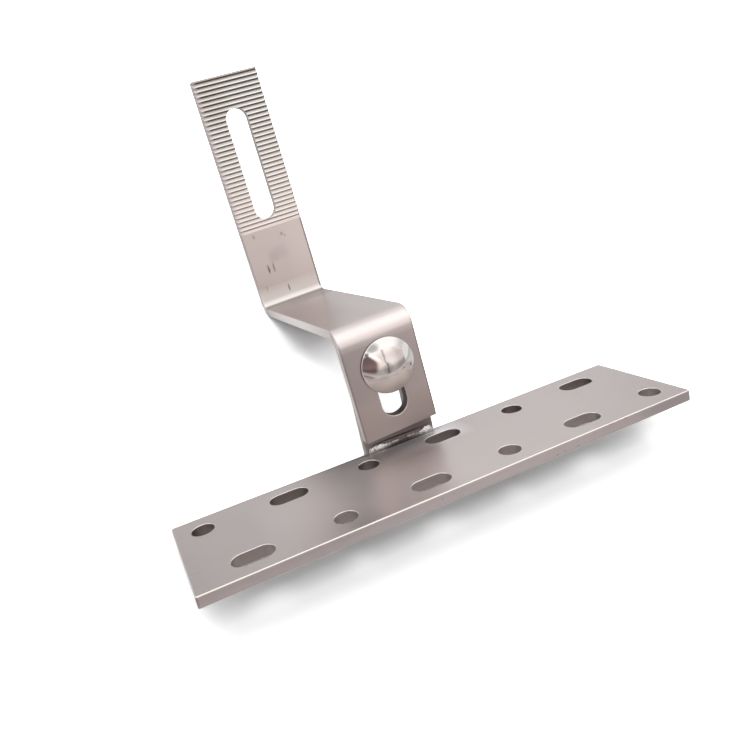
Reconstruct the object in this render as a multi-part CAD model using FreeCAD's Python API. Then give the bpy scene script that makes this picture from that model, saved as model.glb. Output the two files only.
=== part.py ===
import FreeCAD, Part
import math
import os

# Adjustable roof hook for a solar rail, in millimetres.
# Frame: the origin is the centre of the base plate's underside, +X runs along the
# plate, +Y points from the plate towards the upright of the arm, +Z is up.

# Base plate, a flat bar with two rows of screw holes
plate_length = 184.0
plate_width = 49.0
plate_thickness = 4.0
plate_corner_radius = 0.8
holes_per_row = 6
hole_pitch = 30.9
first_hole_from_end = 9.6
hole_row_from_edge = 9.8
screw_hole_diameter = 7.8
screw_slot_length = 14.0
edge_break = 0.4
rim_break = 0.25

# Tab that is welded to the plate's back edge, and the weld
tab_width = 28.5
tab_thickness = 4.0
tab_centre_x = -2.75
tab_top_room = 2.5
tab_slot_room_above = 5.3
weld_leg = 1.7
weld_ripple_height = 0.45
weld_ripple_pitch = 2.2
weld_end_margin = 0.5

# Slots for the clamp bolt, one in the tab and one in the arm's leg
clamp_slot_width = 10.5
clamp_slot_length = 29.5

# Arm, one flat bar bent twice
arm_width = 30.0
arm_thickness = 4.0
arm_bend_radius = 3.0
arm_gap_above_plate = 6.0
leg_height = 44.4
leg_slot_room_above = 9.8
reach = 97.3
reach_dip_deg = 1.8
upright_height = 103.4
arm_turn_deg = 3.1
neck_play = 1.15

# Toothed face and rail slot of the upright
tooth_pitch = 1.99
tooth_count = 34
groove_width = 1.85
groove_depth = 0.75
groove_steep_share = 0.25
first_groove_from_top = 0.75
rail_slot_width = 10.0
rail_slot_length = 50.0
rail_slot_from_top = 14.3

# Clamp bolt with a domed head and a square neck, its washers and its nut
clamp_below_leg_top = 18.7
head_diameter = 21.2
head_height = 4.9
head_rim_height = 0.7
neck_width = 8.0
neck_end_clearance = 0.2
shank_diameter = 8.0
bolt_length = 25.0
bolt_end_chamfer = 0.9
washer_diameter = 16.0
washer_hole_clearance = 0.2
washer_thickness = 1.6
spring_washer_diameter = 14.8
spring_washer_hole_clearance = 0.15
spring_washer_thickness = 2.0
spring_washer_gap = 1.2
spring_washer_cut_deg = 22.0
nut_across_flats = 13.0
nut_height = 6.5
nut_chamfer_deg = 30.0
nut_bore_clearance = 0.05

# Places that follow from the sizes above
plate_back = plate_width / 2
arm_front = plate_back - arm_thickness
tab_back = plate_back + tab_thickness
leg_bottom = plate_thickness + arm_gap_above_plate
arm_centre_x = tab_centre_x - neck_play
leg_top = leg_bottom + leg_height
clamp_height = leg_top - clamp_below_leg_top
tab_top = leg_top - arm_thickness - arm_bend_radius - tab_top_room
washer_back = tab_back + washer_thickness
spring_washer_back = washer_back + spring_washer_thickness
tab_slot_middle = clamp_height + tab_slot_room_above - clamp_slot_length / 2
leg_slot_middle = clamp_height + leg_slot_room_above - clamp_slot_length / 2

# The drawing's directions
ALONG_X = FreeCAD.Vector(1, 0, 0)
ALONG_Y = FreeCAD.Vector(0, 1, 0)
ALONG_Z = FreeCAD.Vector(0, 0, 1)
CUT_MARGIN = 1.0


def point(x, y, z):
    return FreeCAD.Vector(x, y, z)


def box(low, high):
    """A box from its low corner to its high corner."""
    size = high - low
    return Part.makeBox(size.x, size.y, size.z, low)


def long_hole(length, width, depth):
    """A slot cutter with round ends: centred, long way on X, going up from Z = 0."""
    radius = width / 2
    half = length / 2 - radius
    sides = [
        Part.LineSegment(point(-half, -radius, 0), point(half, -radius, 0)),
        Part.Arc(point(half, -radius, 0), point(half + radius, 0, 0), point(half, radius, 0)),
        Part.LineSegment(point(half, radius, 0), point(-half, radius, 0)),
        Part.Arc(point(-half, radius, 0), point(-half - radius, 0, 0), point(-half, -radius, 0)),
    ]
    face = Part.Face(Part.Wire([side.toShape() for side in sides]))
    return face.extrude(point(0, 0, depth))


def upright_slot(length, width, centre_x, centre_z, front, back):
    """A slot cutter whose long way is on Z, through a wall that faces -Y."""
    depth = back - front + 2 * CUT_MARGIN
    cutter = long_hole(length, width, depth)
    cutter.rotate(point(0, 0, 0), ALONG_Y, 90)
    cutter.rotate(point(0, 0, 0), ALONG_Z, 90)
    cutter.translate(point(centre_x, front - CUT_MARGIN, centre_z))
    return cutter


def ring(outer_diameter, inner_diameter, thickness, front):
    """A flat ring on the clamp bolt's axis, from its front face towards +Y."""
    centre = point(tab_centre_x, front, clamp_height)
    disc = Part.makeCylinder(outer_diameter / 2, thickness, centre, ALONG_Y)
    start = centre - point(0, CUT_MARGIN, 0)
    hole = Part.makeCylinder(inner_diameter / 2, thickness + 2 * CUT_MARGIN, start, ALONG_Y)
    return disc.cut(hole)


def edges_on_plane(shape, axis_name, value):
    """Edges that lie flat on the plane where one coordinate has one value."""
    found = []
    for edge in shape.Edges:
        low = getattr(edge.BoundBox, axis_name + "Min")
        high = getattr(edge.BoundBox, axis_name + "Max")
        if abs(low - value) < 1e-4 and abs(high - value) < 1e-4:
            found.append(edge)
    return found


def rounded_outline(corners):
    """A closed wire in the YZ plane through (y, z, radius) corners, rounded by arcs."""
    edges = []
    places = [point(0, y, z) for y, z, radius in corners]
    starts = []
    ends = []
    middles = []
    for index, (y, z, radius) in enumerate(corners):
        here = places[index]
        to_last = (places[index - 1] - here).normalize()
        to_next = (places[(index + 1) % len(places)] - here).normalize()
        half_angle = to_last.getAngle(to_next) / 2
        tangent = radius / math.tan(half_angle)
        starts.append(here + to_last * tangent)
        ends.append(here + to_next * tangent)
        inward = (to_last + to_next).normalize()
        middles.append(here + inward * (radius / math.sin(half_angle) - radius))
    for index, (y, z, radius) in enumerate(corners):
        if radius > 0:
            edges.append(Part.Arc(starts[index], middles[index], ends[index]).toShape())
        following = (index + 1) % len(corners)
        edges.append(Part.LineSegment(ends[index], starts[following]).toShape())
    return Part.Wire(edges)


def make_base_plate():
    """Flat plate: six holes in each row, round and long by turns, the rows reversed."""
    half_length = plate_length / 2
    low = point(-half_length, -plate_back, 0)
    high = point(half_length, plate_back, plate_thickness)
    plate = box(low, high)
    upright_edges = [edge for edge in plate.Edges if abs(edge.BoundBox.ZLength) > edge_break]
    plate = plate.makeFillet(plate_corner_radius, upright_edges)
    plate = plate.makeChamfer(edge_break, edges_on_plane(plate, "Z", plate_thickness))
    for index in range(holes_per_row):
        along = half_length - first_hole_from_end - index * hole_pitch
        across = plate_back - hole_row_from_edge
        length = screw_hole_diameter if index % 2 == 0 else screw_slot_length
        for turn in (1, -1):
            place = point(-turn * along, turn * across, -CUT_MARGIN)
            depth = plate_thickness + 2 * CUT_MARGIN
            if length > screw_hole_diameter:
                cutter = long_hole(length, screw_hole_diameter, depth)
                cutter.translate(place)
            else:
                cutter = Part.makeCylinder(length / 2, depth, place, ALONG_Z)
            plate = plate.cut(cutter)
    rims = []
    for edge in edges_on_plane(plate, "Z", plate_thickness):
        inside_x = abs(edge.CenterOfMass.x) < half_length - 2 * edge_break
        inside_y = abs(edge.CenterOfMass.y) < plate_back - 2 * edge_break
        if inside_x and inside_y:
            rims.append(edge)
    return plate.makeChamfer(rim_break, rims)


def make_clamp_tab():
    """Upright tab whose front face lies against the plate's back edge."""
    low = point(tab_centre_x - tab_width / 2, plate_back, 0)
    high = point(tab_centre_x + tab_width / 2, tab_back, tab_top)
    tab = box(low, high)
    corners = [e for e in edges_on_plane(tab, "Z", tab_top) if e.BoundBox.YLength > edge_break]
    tab = tab.makeFillet(edge_break, corners)
    slot = upright_slot(
        clamp_slot_length, clamp_slot_width, tab_centre_x, tab_slot_middle, plate_back, tab_back
    )
    return tab.cut(slot)


def make_weld_bead():
    """Rippled fillet weld in the corner between the plate's top and the tab's face."""
    length = tab_width - 2 * weld_end_margin
    ripples = max(4, round(length / weld_ripple_pitch))
    step = length / ripples
    start_x = tab_centre_x - length / 2
    corner = point(start_x, plate_back, plate_thickness)
    edges = []
    last = corner
    for index in range(ripples + 1):
        swell = 0.5 * weld_ripple_height * math.sin(2.4 * index)
        at_end = index in (0, ripples)
        radius = 0.6 * weld_leg if at_end else weld_leg + swell
        here = point(start_x + index * step, plate_back, plate_thickness + radius)
        if index == 0:
            edges.append(Part.LineSegment(last, here).toShape())
        else:
            crest = max(last.z, here.z) + weld_ripple_height
            top = point(here.x - step / 2, plate_back, crest)
            edges.append(Part.LineSegment(last, top).toShape())
            edges.append(Part.LineSegment(top, here).toShape())
        last = here
    far_corner = point(last.x, plate_back, plate_thickness)
    edges.append(Part.LineSegment(last, far_corner).toShape())
    edges.append(Part.LineSegment(far_corner, corner).toShape())
    section = Part.Face(Part.Wire(edges))
    return section.revolve(corner, ALONG_X, 90)


def arm_outline():
    """Side view of the bent bar, before it is turned about the clamp bolt."""
    dip = math.radians(reach_dip_deg)
    inner = arm_bend_radius
    outer = arm_bend_radius + arm_thickness
    upright_front = arm_front + reach * math.cos(dip)
    seat = leg_top - reach * math.sin(dip)
    under_drop = arm_thickness * (1 + math.sin(dip)) / math.cos(dip)
    slope = math.tan(dip)
    first_under = leg_top - under_drop
    second_under = first_under - (upright_front - arm_front) * slope
    top = seat + upright_height
    return rounded_outline([
        (arm_front, leg_bottom, 0),
        (arm_front, leg_top, outer),
        (upright_front, seat, inner),
        (upright_front, top, 0),
        (upright_front + arm_thickness, top, 0),
        (upright_front + arm_thickness, second_under, outer),
        (plate_back, first_under, inner),
        (plate_back, leg_bottom, 0),
    ]), upright_front, top


def tooth_comb(front, top):
    """Cutters for saw-tooth grooves: a steep side above and a gentle side below."""
    left = arm_centre_x - arm_width / 2 - CUT_MARGIN
    length = arm_width + 2 * CUT_MARGIN
    steep = groove_width * groove_steep_share
    gentle = groove_width - steep
    widening = 1 + CUT_MARGIN / groove_depth
    grooves = []
    for index in range(tooth_count):
        height = top - first_groove_from_top - steep - index * tooth_pitch
        corners = [
            point(left, front + groove_depth, height),
            point(left, front - CUT_MARGIN, height - gentle * widening),
            point(left, front - CUT_MARGIN, height + steep * widening),
        ]
        face = Part.Face(Part.makePolygon(corners + corners[:1]))
        grooves.append(face.extrude(point(length, 0, 0)))
    return grooves


def make_hook_arm():
    """One bar: a leg with a slot, a reach over the tile, and a toothed upright."""
    outline, upright_front, top = arm_outline()
    bar = Part.Face(outline).extrude(point(arm_width, 0, 0))
    bar.translate(point(arm_centre_x - arm_width / 2, 0, 0))
    sides = edges_on_plane(bar, "X", arm_centre_x - arm_width / 2)
    sides += edges_on_plane(bar, "X", arm_centre_x + arm_width / 2)
    bar = bar.makeChamfer(edge_break, sides)
    leg_slot = upright_slot(
        clamp_slot_length, clamp_slot_width, arm_centre_x, leg_slot_middle, arm_front, plate_back
    )
    rail_slot_middle = top - rail_slot_from_top - rail_slot_length / 2
    rail_slot = upright_slot(
        rail_slot_length, rail_slot_width, arm_centre_x, rail_slot_middle,
        upright_front, upright_front + arm_thickness
    )
    bar = bar.cut(tooth_comb(upright_front, top))
    bar = bar.cut([leg_slot, rail_slot])
    slot_reach = clamp_slot_length / 2 + rim_break
    rims = []
    for edge in edges_on_plane(bar, "Y", arm_front):
        beside = abs(edge.CenterOfMass.x - arm_centre_x) < clamp_slot_width / 2 + rim_break
        level = abs(edge.CenterOfMass.z - leg_slot_middle) < slot_reach
        if beside and level:
            rims.append(edge)
    bar = bar.makeChamfer(rim_break, rims)
    bar.rotate(point(tab_centre_x, 0, clamp_height), ALONG_Y, -arm_turn_deg)
    return bar


def make_carriage_bolt():
    """Domed head on the arm's face, square neck in its slot, and a round shank."""
    radius = head_diameter / 2
    dome_rise = head_height - head_rim_height
    dome_radius = (radius ** 2 + dome_rise ** 2) / (2 * dome_rise)
    middle_angle = math.asin(radius / dome_radius) / 2
    crown_centre = dome_radius - head_height
    middle = point(
        dome_radius * math.sin(middle_angle), crown_centre - dome_radius * math.cos(middle_angle), 0
    )
    rim = point(radius, -head_rim_height, 0)
    crown = point(0, -head_height, 0)
    edges = [
        Part.LineSegment(point(0, 0, 0), point(radius, 0, 0)),
        Part.LineSegment(point(radius, 0, 0), rim),
        Part.Arc(rim, middle, crown),
        Part.LineSegment(crown, point(0, 0, 0)),
    ]
    head = Part.Face(Part.Wire([edge.toShape() for edge in edges]))
    head = head.revolve(point(0, 0, 0), ALONG_Y, 360)
    neck_length = arm_thickness - neck_end_clearance
    half_neck = neck_width / 2
    neck = box(point(-half_neck, 0, -half_neck), point(half_neck, neck_length, half_neck))
    shank = Part.makeCylinder(shank_diameter / 2, bolt_length, point(0, 0, 0), ALONG_Y)
    end_edges = edges_on_plane(shank, "Y", bolt_length)
    shank = shank.makeChamfer(bolt_end_chamfer, end_edges)
    bolt = head.fuse([neck, shank]).removeSplitter()
    bolt.rotate(point(0, 0, 0), ALONG_Y, -arm_turn_deg)
    bolt.translate(point(tab_centre_x, arm_front, clamp_height))
    return bolt


def make_flat_washer():
    hole = shank_diameter + 2 * washer_hole_clearance
    return ring(washer_diameter, hole, washer_thickness, tab_back)


def make_spring_washer():
    """Split ring, pressed flat, with its slanting cut at the top."""
    hole = shank_diameter + 2 * spring_washer_hole_clearance
    washer = ring(spring_washer_diameter, hole, spring_washer_thickness, washer_back)
    half_gap = spring_washer_gap / 2
    span = spring_washer_thickness + 4 * CUT_MARGIN
    low = point(-half_gap, -span / 2, 0)
    high = point(half_gap, span / 2, spring_washer_diameter)
    cutter = box(low, high)
    cutter.rotate(point(0, 0, 0), ALONG_Z, spring_washer_cut_deg)
    middle = washer_back + spring_washer_thickness / 2
    cutter.translate(point(tab_centre_x, middle, clamp_height))
    return washer.cut(cutter)


def make_hex_nut():
    """Hexagon nut whose corners are turned down to a cone on both faces."""
    corner_radius = nut_across_flats / math.sqrt(3)
    corners = []
    for index in range(7):
        angle = math.radians(60 * index)
        corners.append(point(corner_radius * math.cos(angle), 0, corner_radius * math.sin(angle)))
    prism = Part.Face(Part.makePolygon(corners)).extrude(point(0, nut_height, 0))
    flat_radius = nut_across_flats / 2
    drop = (corner_radius - flat_radius) * math.tan(math.radians(nut_chamfer_deg))
    outline = [
        point(0, 0, 0),
        point(flat_radius, 0, 0),
        point(corner_radius, drop, 0),
        point(corner_radius, nut_height - drop, 0),
        point(flat_radius, nut_height, 0),
        point(0, nut_height, 0),
    ]
    turned = Part.Face(Part.makePolygon(outline + outline[:1]))
    turned = turned.revolve(point(0, 0, 0), ALONG_Y, 360)
    bore = shank_diameter / 2 + nut_bore_clearance
    start = point(0, -CUT_MARGIN, 0)
    hole = Part.makeCylinder(bore, nut_height + 2 * CUT_MARGIN, start, ALONG_Y)
    nut = prism.common(turned).cut(hole)
    nut.translate(point(tab_centre_x, spring_washer_back, clamp_height))
    return nut


PIECES = {
    "base_plate": make_base_plate,
    "clamp_tab": make_clamp_tab,
    "weld_bead": make_weld_bead,
    "hook_arm": make_hook_arm,
    "carriage_bolt": make_carriage_bolt,
    "flat_washer": make_flat_washer,
    "spring_washer": make_spring_washer,
    "hex_nut": make_hex_nut,
}

os.makedirs("parts", exist_ok=True)
for node, make in PIECES.items():
    piece = make()
    solid = piece.Solids[0]
    print(node, "valid", solid.isValid(), "solids", len(piece.Solids), "mm3", round(solid.Volume, 1))
    solid.exportStep("parts/" + node + ".step")
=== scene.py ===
# %% [markdown]
# # A solar roof hook, dressed for the camera
# The hook is a screw plate with a welded tab, and a bent arm that a carriage bolt clamps to
# the tab. All of it is stainless steel, so what tells the pieces apart is how each surface
# was left: the plate and the arm are satin sheet, the bolt's head is polished, the weld is
# raw and lumpy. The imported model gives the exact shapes. This file adds soft edges, a thread,
# a real weld bead, the metals, and a small studio to see them in.

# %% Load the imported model
import math

import bpy
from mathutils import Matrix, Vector


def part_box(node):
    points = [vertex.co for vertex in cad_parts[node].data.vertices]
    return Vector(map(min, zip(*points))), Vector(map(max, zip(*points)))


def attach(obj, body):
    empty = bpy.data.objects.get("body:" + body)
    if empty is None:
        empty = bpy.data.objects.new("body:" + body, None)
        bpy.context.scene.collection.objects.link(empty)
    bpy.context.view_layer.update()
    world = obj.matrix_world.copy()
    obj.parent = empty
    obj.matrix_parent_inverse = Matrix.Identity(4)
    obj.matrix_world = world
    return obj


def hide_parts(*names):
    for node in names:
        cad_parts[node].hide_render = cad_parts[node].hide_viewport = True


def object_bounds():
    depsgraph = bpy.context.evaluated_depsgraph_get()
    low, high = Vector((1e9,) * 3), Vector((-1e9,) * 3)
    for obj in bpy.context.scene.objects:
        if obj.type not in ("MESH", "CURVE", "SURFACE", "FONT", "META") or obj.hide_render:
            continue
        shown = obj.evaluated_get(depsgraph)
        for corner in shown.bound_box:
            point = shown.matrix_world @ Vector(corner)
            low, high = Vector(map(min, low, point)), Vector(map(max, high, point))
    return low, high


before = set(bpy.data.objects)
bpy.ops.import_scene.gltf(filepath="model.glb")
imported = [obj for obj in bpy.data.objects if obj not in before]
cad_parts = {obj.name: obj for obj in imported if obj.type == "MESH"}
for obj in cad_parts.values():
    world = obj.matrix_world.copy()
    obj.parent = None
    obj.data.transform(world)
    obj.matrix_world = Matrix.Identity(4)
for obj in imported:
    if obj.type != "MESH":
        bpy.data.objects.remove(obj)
cad_low, cad_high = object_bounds()
scene = bpy.context.scene
scene.view_settings.view_transform = "Standard"
MM = 0.001
print("pieces in the packed model:", sorted(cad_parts))

# %% [markdown]
# ## The camera
# The photograph was taken from the plate's left end and a little above. The lens and the
# place were found by matching the plate's corners, its twelve holes and the arm's edges, so
# they are kept as plain numbers here.

# %% The camera
camera_data = bpy.data.cameras.new("photo_camera")
camera_data.lens = 35.413
camera_data.sensor_width = 36
camera = bpy.data.objects.new("photo_camera", camera_data)
scene.collection.objects.link(camera)
camera.location = (-0.09252, -0.21283, 0.11184)
camera.rotation_euler = [math.radians(a) for a in (73.023, 12.6421, -23.0300)]
camera_data.clip_start = 0.01
scene.camera = camera

# %% [markdown]
# ## The studio
# In the photograph the hook lies on a white table on two things: the plate's back edge and
# the arm's lower bend. The table therefore slopes up behind the plate when the plate is drawn
# level. The table is one big plane whose back side lets everything through, so it never hides
# the hook from behind or below.
#
# Metal shows what stands round it more than its own colour. So the studio is built as a
# product photographer builds one. Three soft lamps light the table and throw the shadow: a wide
# low one in front, a small high one whose light falls through the plate's holes, and a wide one
# behind. Large cards that only reflections can see light the metal: a ceiling, a warm screen in
# front that is darker towards the floor, and a paler one behind. The front screen also has a
# dark patch, a light bar and a dark line to mirror.
#
# The camera sees the paper brighter than the lamps make it, so that it comes out white. Far from
# the hook, and in an oval behind the leg, it is brighter still, as in the photograph. Reflections
# see the paper without this.

# %% Helpers for selecting and for shader nodes
def add_node(tree, kind, **values):
    """A node with its settings; names that match an input set that input."""
    node = tree.nodes.new(kind)
    for key, value in values.items():
        if key in node.inputs:
            node.inputs[key].default_value = value
        else:
            setattr(node, key, value)
    return node


def math_node(tree, operation, first, second=None, clamp=False):
    """One arithmetic step; each operand is a number or an output socket."""
    node = tree.nodes.new("ShaderNodeMath")
    node.operation = operation
    node.use_clamp = clamp
    for place, operand in enumerate((first, second)):
        if operand is None:
            continue
        if isinstance(operand, (int, float)):
            node.inputs[place].default_value = operand
        else:
            tree.links.new(operand, node.inputs[place])
    return node.outputs[0]


def select_only(piece):
    """Object mode, with this one piece selected and active."""
    if bpy.context.object and bpy.context.object.mode != "OBJECT":
        bpy.ops.object.mode_set(mode="OBJECT")
    bpy.ops.object.select_all(action="DESELECT")
    piece.select_set(True)
    bpy.context.view_layer.objects.active = piece


def is_seen_ray(tree):
    """1 for rays that show the background: camera, glossy and transmission rays."""
    path = tree.nodes.new("ShaderNodeLightPath")
    seen = math_node(tree, "MAXIMUM", path.outputs["Is Camera Ray"], path.outputs["Is Glossy Ray"])
    return math_node(tree, "MAXIMUM", seen, path.outputs["Is Transmission Ray"])


def spot(tree, first, second, middle, wide, high, crisp=3.5):
    """1 in the middle of an oval and 0 outside it; a negative crisp turns that round."""
    across = math_node(tree, "DIVIDE", math_node(tree, "SUBTRACT", first, middle[0]), wide)
    up = math_node(tree, "DIVIDE", math_node(tree, "SUBTRACT", second, middle[1]), high)
    both = math_node(
        tree, "ADD", math_node(tree, "POWER", across, 2.0), math_node(tree, "POWER", up, 2.0)
    )
    rim = math_node(tree, "SUBTRACT", 1.0, both)
    return math_node(tree, "MULTIPLY", rim, crisp, clamp=True)


# %% The world
world = bpy.data.worlds.new("white_room")
scene.world = world
world.use_nodes = True
tree = world.node_tree
tree.nodes.clear()
room_light = 0.52
strength = math_node(tree, "MULTIPLY", is_seen_ray(tree), 1.0 - room_light)
strength = math_node(tree, "ADD", strength, room_light)
background = add_node(tree, "ShaderNodeBackground", Color=(1, 1, 1, 1))
tree.links.new(strength, background.inputs["Strength"])
output = add_node(tree, "ShaderNodeOutputWorld")
tree.links.new(background.outputs[0], output.inputs[0])

# %% The table
table_tilt = math.radians(28.0)
_, plate_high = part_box("base_plate")
table_line = Vector((0, plate_high.y + 4 * MM, 0))
bpy.ops.object.select_all(action="DESELECT")
bpy.ops.mesh.primitive_plane_add(size=6.0)
table = bpy.context.active_object
table.name = "table"
table.rotation_euler = (table_tilt, 0, 0)
up_from_table = Vector((0, -math.sin(table_tilt), math.cos(table_tilt)))
table.location = table_line - up_from_table * 0.3 * MM

paper = bpy.data.materials.new("white_table")
paper.use_nodes = True
tree = paper.node_tree
tree.nodes.clear()
matt = add_node(tree, "ShaderNodeBsdfDiffuse")
path = add_node(tree, "ShaderNodeLightPath")
on_table = add_node(tree, "ShaderNodeSeparateXYZ")
where = add_node(tree, "ShaderNodeTexCoord")
tree.links.new(where.outputs["Object"], on_table.inputs[0])
paper_white = 0.78
camera_boost = 0.87
leg_boost = 0.80
bounce_loss = 0.85
table_x, table_y = on_table.outputs["X"], on_table.outputs["Y"]
far_away = spot(tree, table_x, table_y, (0, 0), 0.30, 0.30, crisp=-1.2)
behind_leg = spot(tree, table_x, table_y, (0, 25 * MM), 70 * MM, 48 * MM, crisp=1.6)
boost = math_node(tree, "ADD", far_away, math_node(tree, "MULTIPLY", behind_leg, leg_boost))
boost = math_node(tree, "ADD", boost, camera_boost)
whiteness = math_node(tree, "MULTIPLY", path.outputs["Is Camera Ray"], boost)
whiteness = math_node(tree, "ADD", whiteness, paper_white)
second_bounce = math_node(tree, "GREATER_THAN", path.outputs["Diffuse Depth"], 0.5)
second_bounce = math_node(tree, "MULTIPLY", second_bounce, bounce_loss)
whiteness = math_node(tree, "MULTIPLY", whiteness, math_node(tree, "SUBTRACT", 1.0, second_bounce))
tree.links.new(whiteness, matt.inputs["Color"])
clear = add_node(tree, "ShaderNodeBsdfTransparent")
side = add_node(tree, "ShaderNodeMixShader")
geometry = add_node(tree, "ShaderNodeNewGeometry")
tree.links.new(geometry.outputs["Backfacing"], side.inputs[0])
tree.links.new(matt.outputs[0], side.inputs[1])
tree.links.new(clear.outputs[0], side.inputs[2])
output = add_node(tree, "ShaderNodeOutputMaterial")
tree.links.new(side.outputs[0], output.inputs[0])
table.data.materials.append(paper)

# %% The soft lamps
def soft_lamp(name, towards, distance, width, height, radiance):
    """An area lamp that looks at the hook; radiance is how bright its face is."""
    data = bpy.data.lights.new(name, "AREA")
    data.shape = "RECTANGLE"
    data.size = width
    data.size_y = height
    data.energy = radiance * math.pi * width * height
    lamp = bpy.data.objects.new(name, data)
    scene.collection.objects.link(lamp)
    direction = Vector(towards).normalized()
    middle = (cad_low + cad_high) / 2
    lamp.location = middle + direction * distance
    lamp.rotation_mode = "QUATERNION"
    lamp.rotation_quaternion = direction.to_track_quat("Z", "Y")
    lamp.visible_glossy = False
    return lamp


soft_lamp("front_softbox", (0.0, -0.83, 0.56), 0.73, 1.30, 0.22, 2.1)
soft_lamp("high_key", (-0.214, -0.489, 0.845), 0.845, 0.30, 0.30, 3.8)
soft_lamp("back_fill", (0.0, 0.50, 0.87), 0.90, 1.00, 0.50, 2.0)

# %% Cards that only reflections see
def card(name, middle, width, height, turn):
    """A glowing plane for reflections; gives its tree, its place sockets and its glow."""
    bpy.ops.object.select_all(action="DESELECT")
    bpy.ops.mesh.primitive_plane_add(size=1.0, location=middle, rotation=turn)
    plane = bpy.context.active_object
    plane.name = name
    plane.scale = (width, height, 1)
    select_only(plane)
    bpy.ops.object.transform_apply(location=True, rotation=True, scale=True)
    for ray in ("camera", "diffuse", "transmission", "volume_scatter", "shadow"):
        setattr(plane, "visible_" + ray, False)
    material = bpy.data.materials.new(name)
    material.use_nodes = True
    tree = material.node_tree
    tree.nodes.clear()
    light = add_node(tree, "ShaderNodeEmission", Color=(1, 1, 1, 1))
    output = add_node(tree, "ShaderNodeOutputMaterial")
    tree.links.new(light.outputs[0], output.inputs[0])
    plane.data.materials.append(material)
    place = add_node(tree, "ShaderNodeSeparateXYZ")
    where = add_node(tree, "ShaderNodeTexCoord")
    tree.links.new(where.outputs["Object"], place.inputs[0])
    return tree, place.outputs, light


def ramp(tree, value, stops):
    """Grey tones at given places along a value, smoothly joined."""
    low, high = stops[0][0], stops[-1][0]
    share = add_node(tree, "ShaderNodeMapRange")
    share.inputs["From Min"].default_value = low
    share.inputs["From Max"].default_value = high
    tree.links.new(value, share.inputs["Value"])
    colours = add_node(tree, "ShaderNodeValToRGB")
    colours.color_ramp.interpolation = "EASE"
    elements = colours.color_ramp.elements
    while len(elements) < len(stops):
        elements.new(0.5)
    for element, (at, tone) in zip(elements, stops):
        element.position = (at - low) / (high - low)
        element.color = (tone, tone, tone, 1)
    tree.links.new(share.outputs["Result"], colours.inputs["Fac"])
    return colours.outputs["Color"]


def away_from_line(tree, first, second, start, end, half_width):
    """1 on a slanted line between two places of a card and 0 away from it."""
    run, rise = end[0] - start[0], end[1] - start[1]
    length = math.hypot(run, rise)
    part = math_node(tree, "MULTIPLY", first, rise / length)
    other = math_node(tree, "MULTIPLY", second, run / length)
    offset = (start[0] * rise - start[1] * run) / length
    distance = math_node(tree, "SUBTRACT", math_node(tree, "SUBTRACT", part, other), offset)
    distance = math_node(tree, "DIVIDE", math_node(tree, "ABSOLUTE", distance), half_width)
    return math_node(tree, "SUBTRACT", 1.0, distance, clamp=True)


# %% The ceiling, the warm front screen and the pale back screen
tree, place, light = card("bright_ceiling", (0.8, -0.15, 0.72), 3.6, 2.3, (0, 0, 0))
ceiling_tone = ramp(
    tree, place["Y"],
    [(-1.1, 1.0), (-0.7, 1.45), (-0.35, 1.38), (0.20, 1.38), (0.50, 1.0), (1.0, 0.9)],
)
patch = spot(tree, place["X"], place["Y"], (-0.30, -0.55), 0.36, 0.36, crisp=1.3)
patch = math_node(tree, "SUBTRACT", 1.0, math_node(tree, "MULTIPLY", patch, 0.55))
corner = spot(tree, place["X"], place["Y"], (-0.92, -0.72), 0.28, 0.24)
corner = math_node(tree, "SUBTRACT", 1.0, math_node(tree, "MULTIPLY", corner, 0.85))
fading = ramp(tree, place["X"], [(0.6, 1.0), (1.7, 0.60)])
tree.links.new(ceiling_tone, light.inputs["Color"])
strength = math_node(tree, "MULTIPLY", math_node(tree, "MULTIPLY", patch, corner), fading)
tree.links.new(strength, light.inputs["Strength"])

tree, place, light = card(
    "warm_front_screen", (-0.25, -0.56, 0.05), 2.9, 0.90, (math.radians(90), 0, 0)
)
height_tone = ramp(
    tree, place["Z"], [(-0.36, 0.52), (-0.16, 0.52), (0.02, 1.16), (0.22, 1.10), (0.5, 1.5)]
)
side_tone = ramp(tree, place["X"], [(0.25, 1.0), (0.60, 0.72)])
low_shade = spot(tree, place["X"], place["Z"], (0.08, -0.14), 0.16, 0.18)
dark_spot = spot(tree, place["X"], place["Z"], (-0.85, 0.08), 0.70, 0.60)
slope = math_node(tree, "MULTIPLY_ADD", place["X"], -1.055)
slope.node.inputs[2].default_value = -0.054
slope = math_node(tree, "SUBTRACT", slope, place["Z"])
slope = math_node(tree, "MULTIPLY", slope, 14.0, clamp=True)
dark_spot = math_node(tree, "MULTIPLY", dark_spot, slope)
floor_line = math_node(tree, "ADD", place["Z"], 0.28)
floor_line = math_node(tree, "MULTIPLY", floor_line, 10.0, clamp=True)
dark_spot = math_node(tree, "MULTIPLY", dark_spot, floor_line)
bar_line = away_from_line(tree, place["X"], place["Z"], (-0.60, 0.66), (-0.12, 0.16), 0.07)
left_of = math_node(tree, "SUBTRACT", -0.06, place["X"])
left_of = math_node(tree, "MULTIPLY", left_of, 8.0, clamp=True)
bar_line = math_node(tree, "MULTIPLY", bar_line, left_of)
wavy = add_node(tree, "ShaderNodeTexNoise", Scale=5.0, Detail=2.0)
tree.links.new(place["Z"].node.inputs[0].links[0].from_socket, wavy.inputs["Vector"])
mottle = math_node(tree, "MULTIPLY_ADD", wavy.outputs["Fac"], 0.24)
mottle.node.inputs[2].default_value = 0.88
sway = math_node(tree, "MULTIPLY_ADD", wavy.outputs["Fac"], 0.22)
sway.node.inputs[2].default_value = -0.11
swayed = math_node(tree, "ADD", place["X"], sway)
dark_line = away_from_line(tree, swayed, place["Z"], (0.03, 0.45), (0.08, -0.32), 0.046)
depth = math_node(tree, "MULTIPLY_ADD", place["Z"], 0.25)
depth.node.inputs[2].default_value = 0.76
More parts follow.
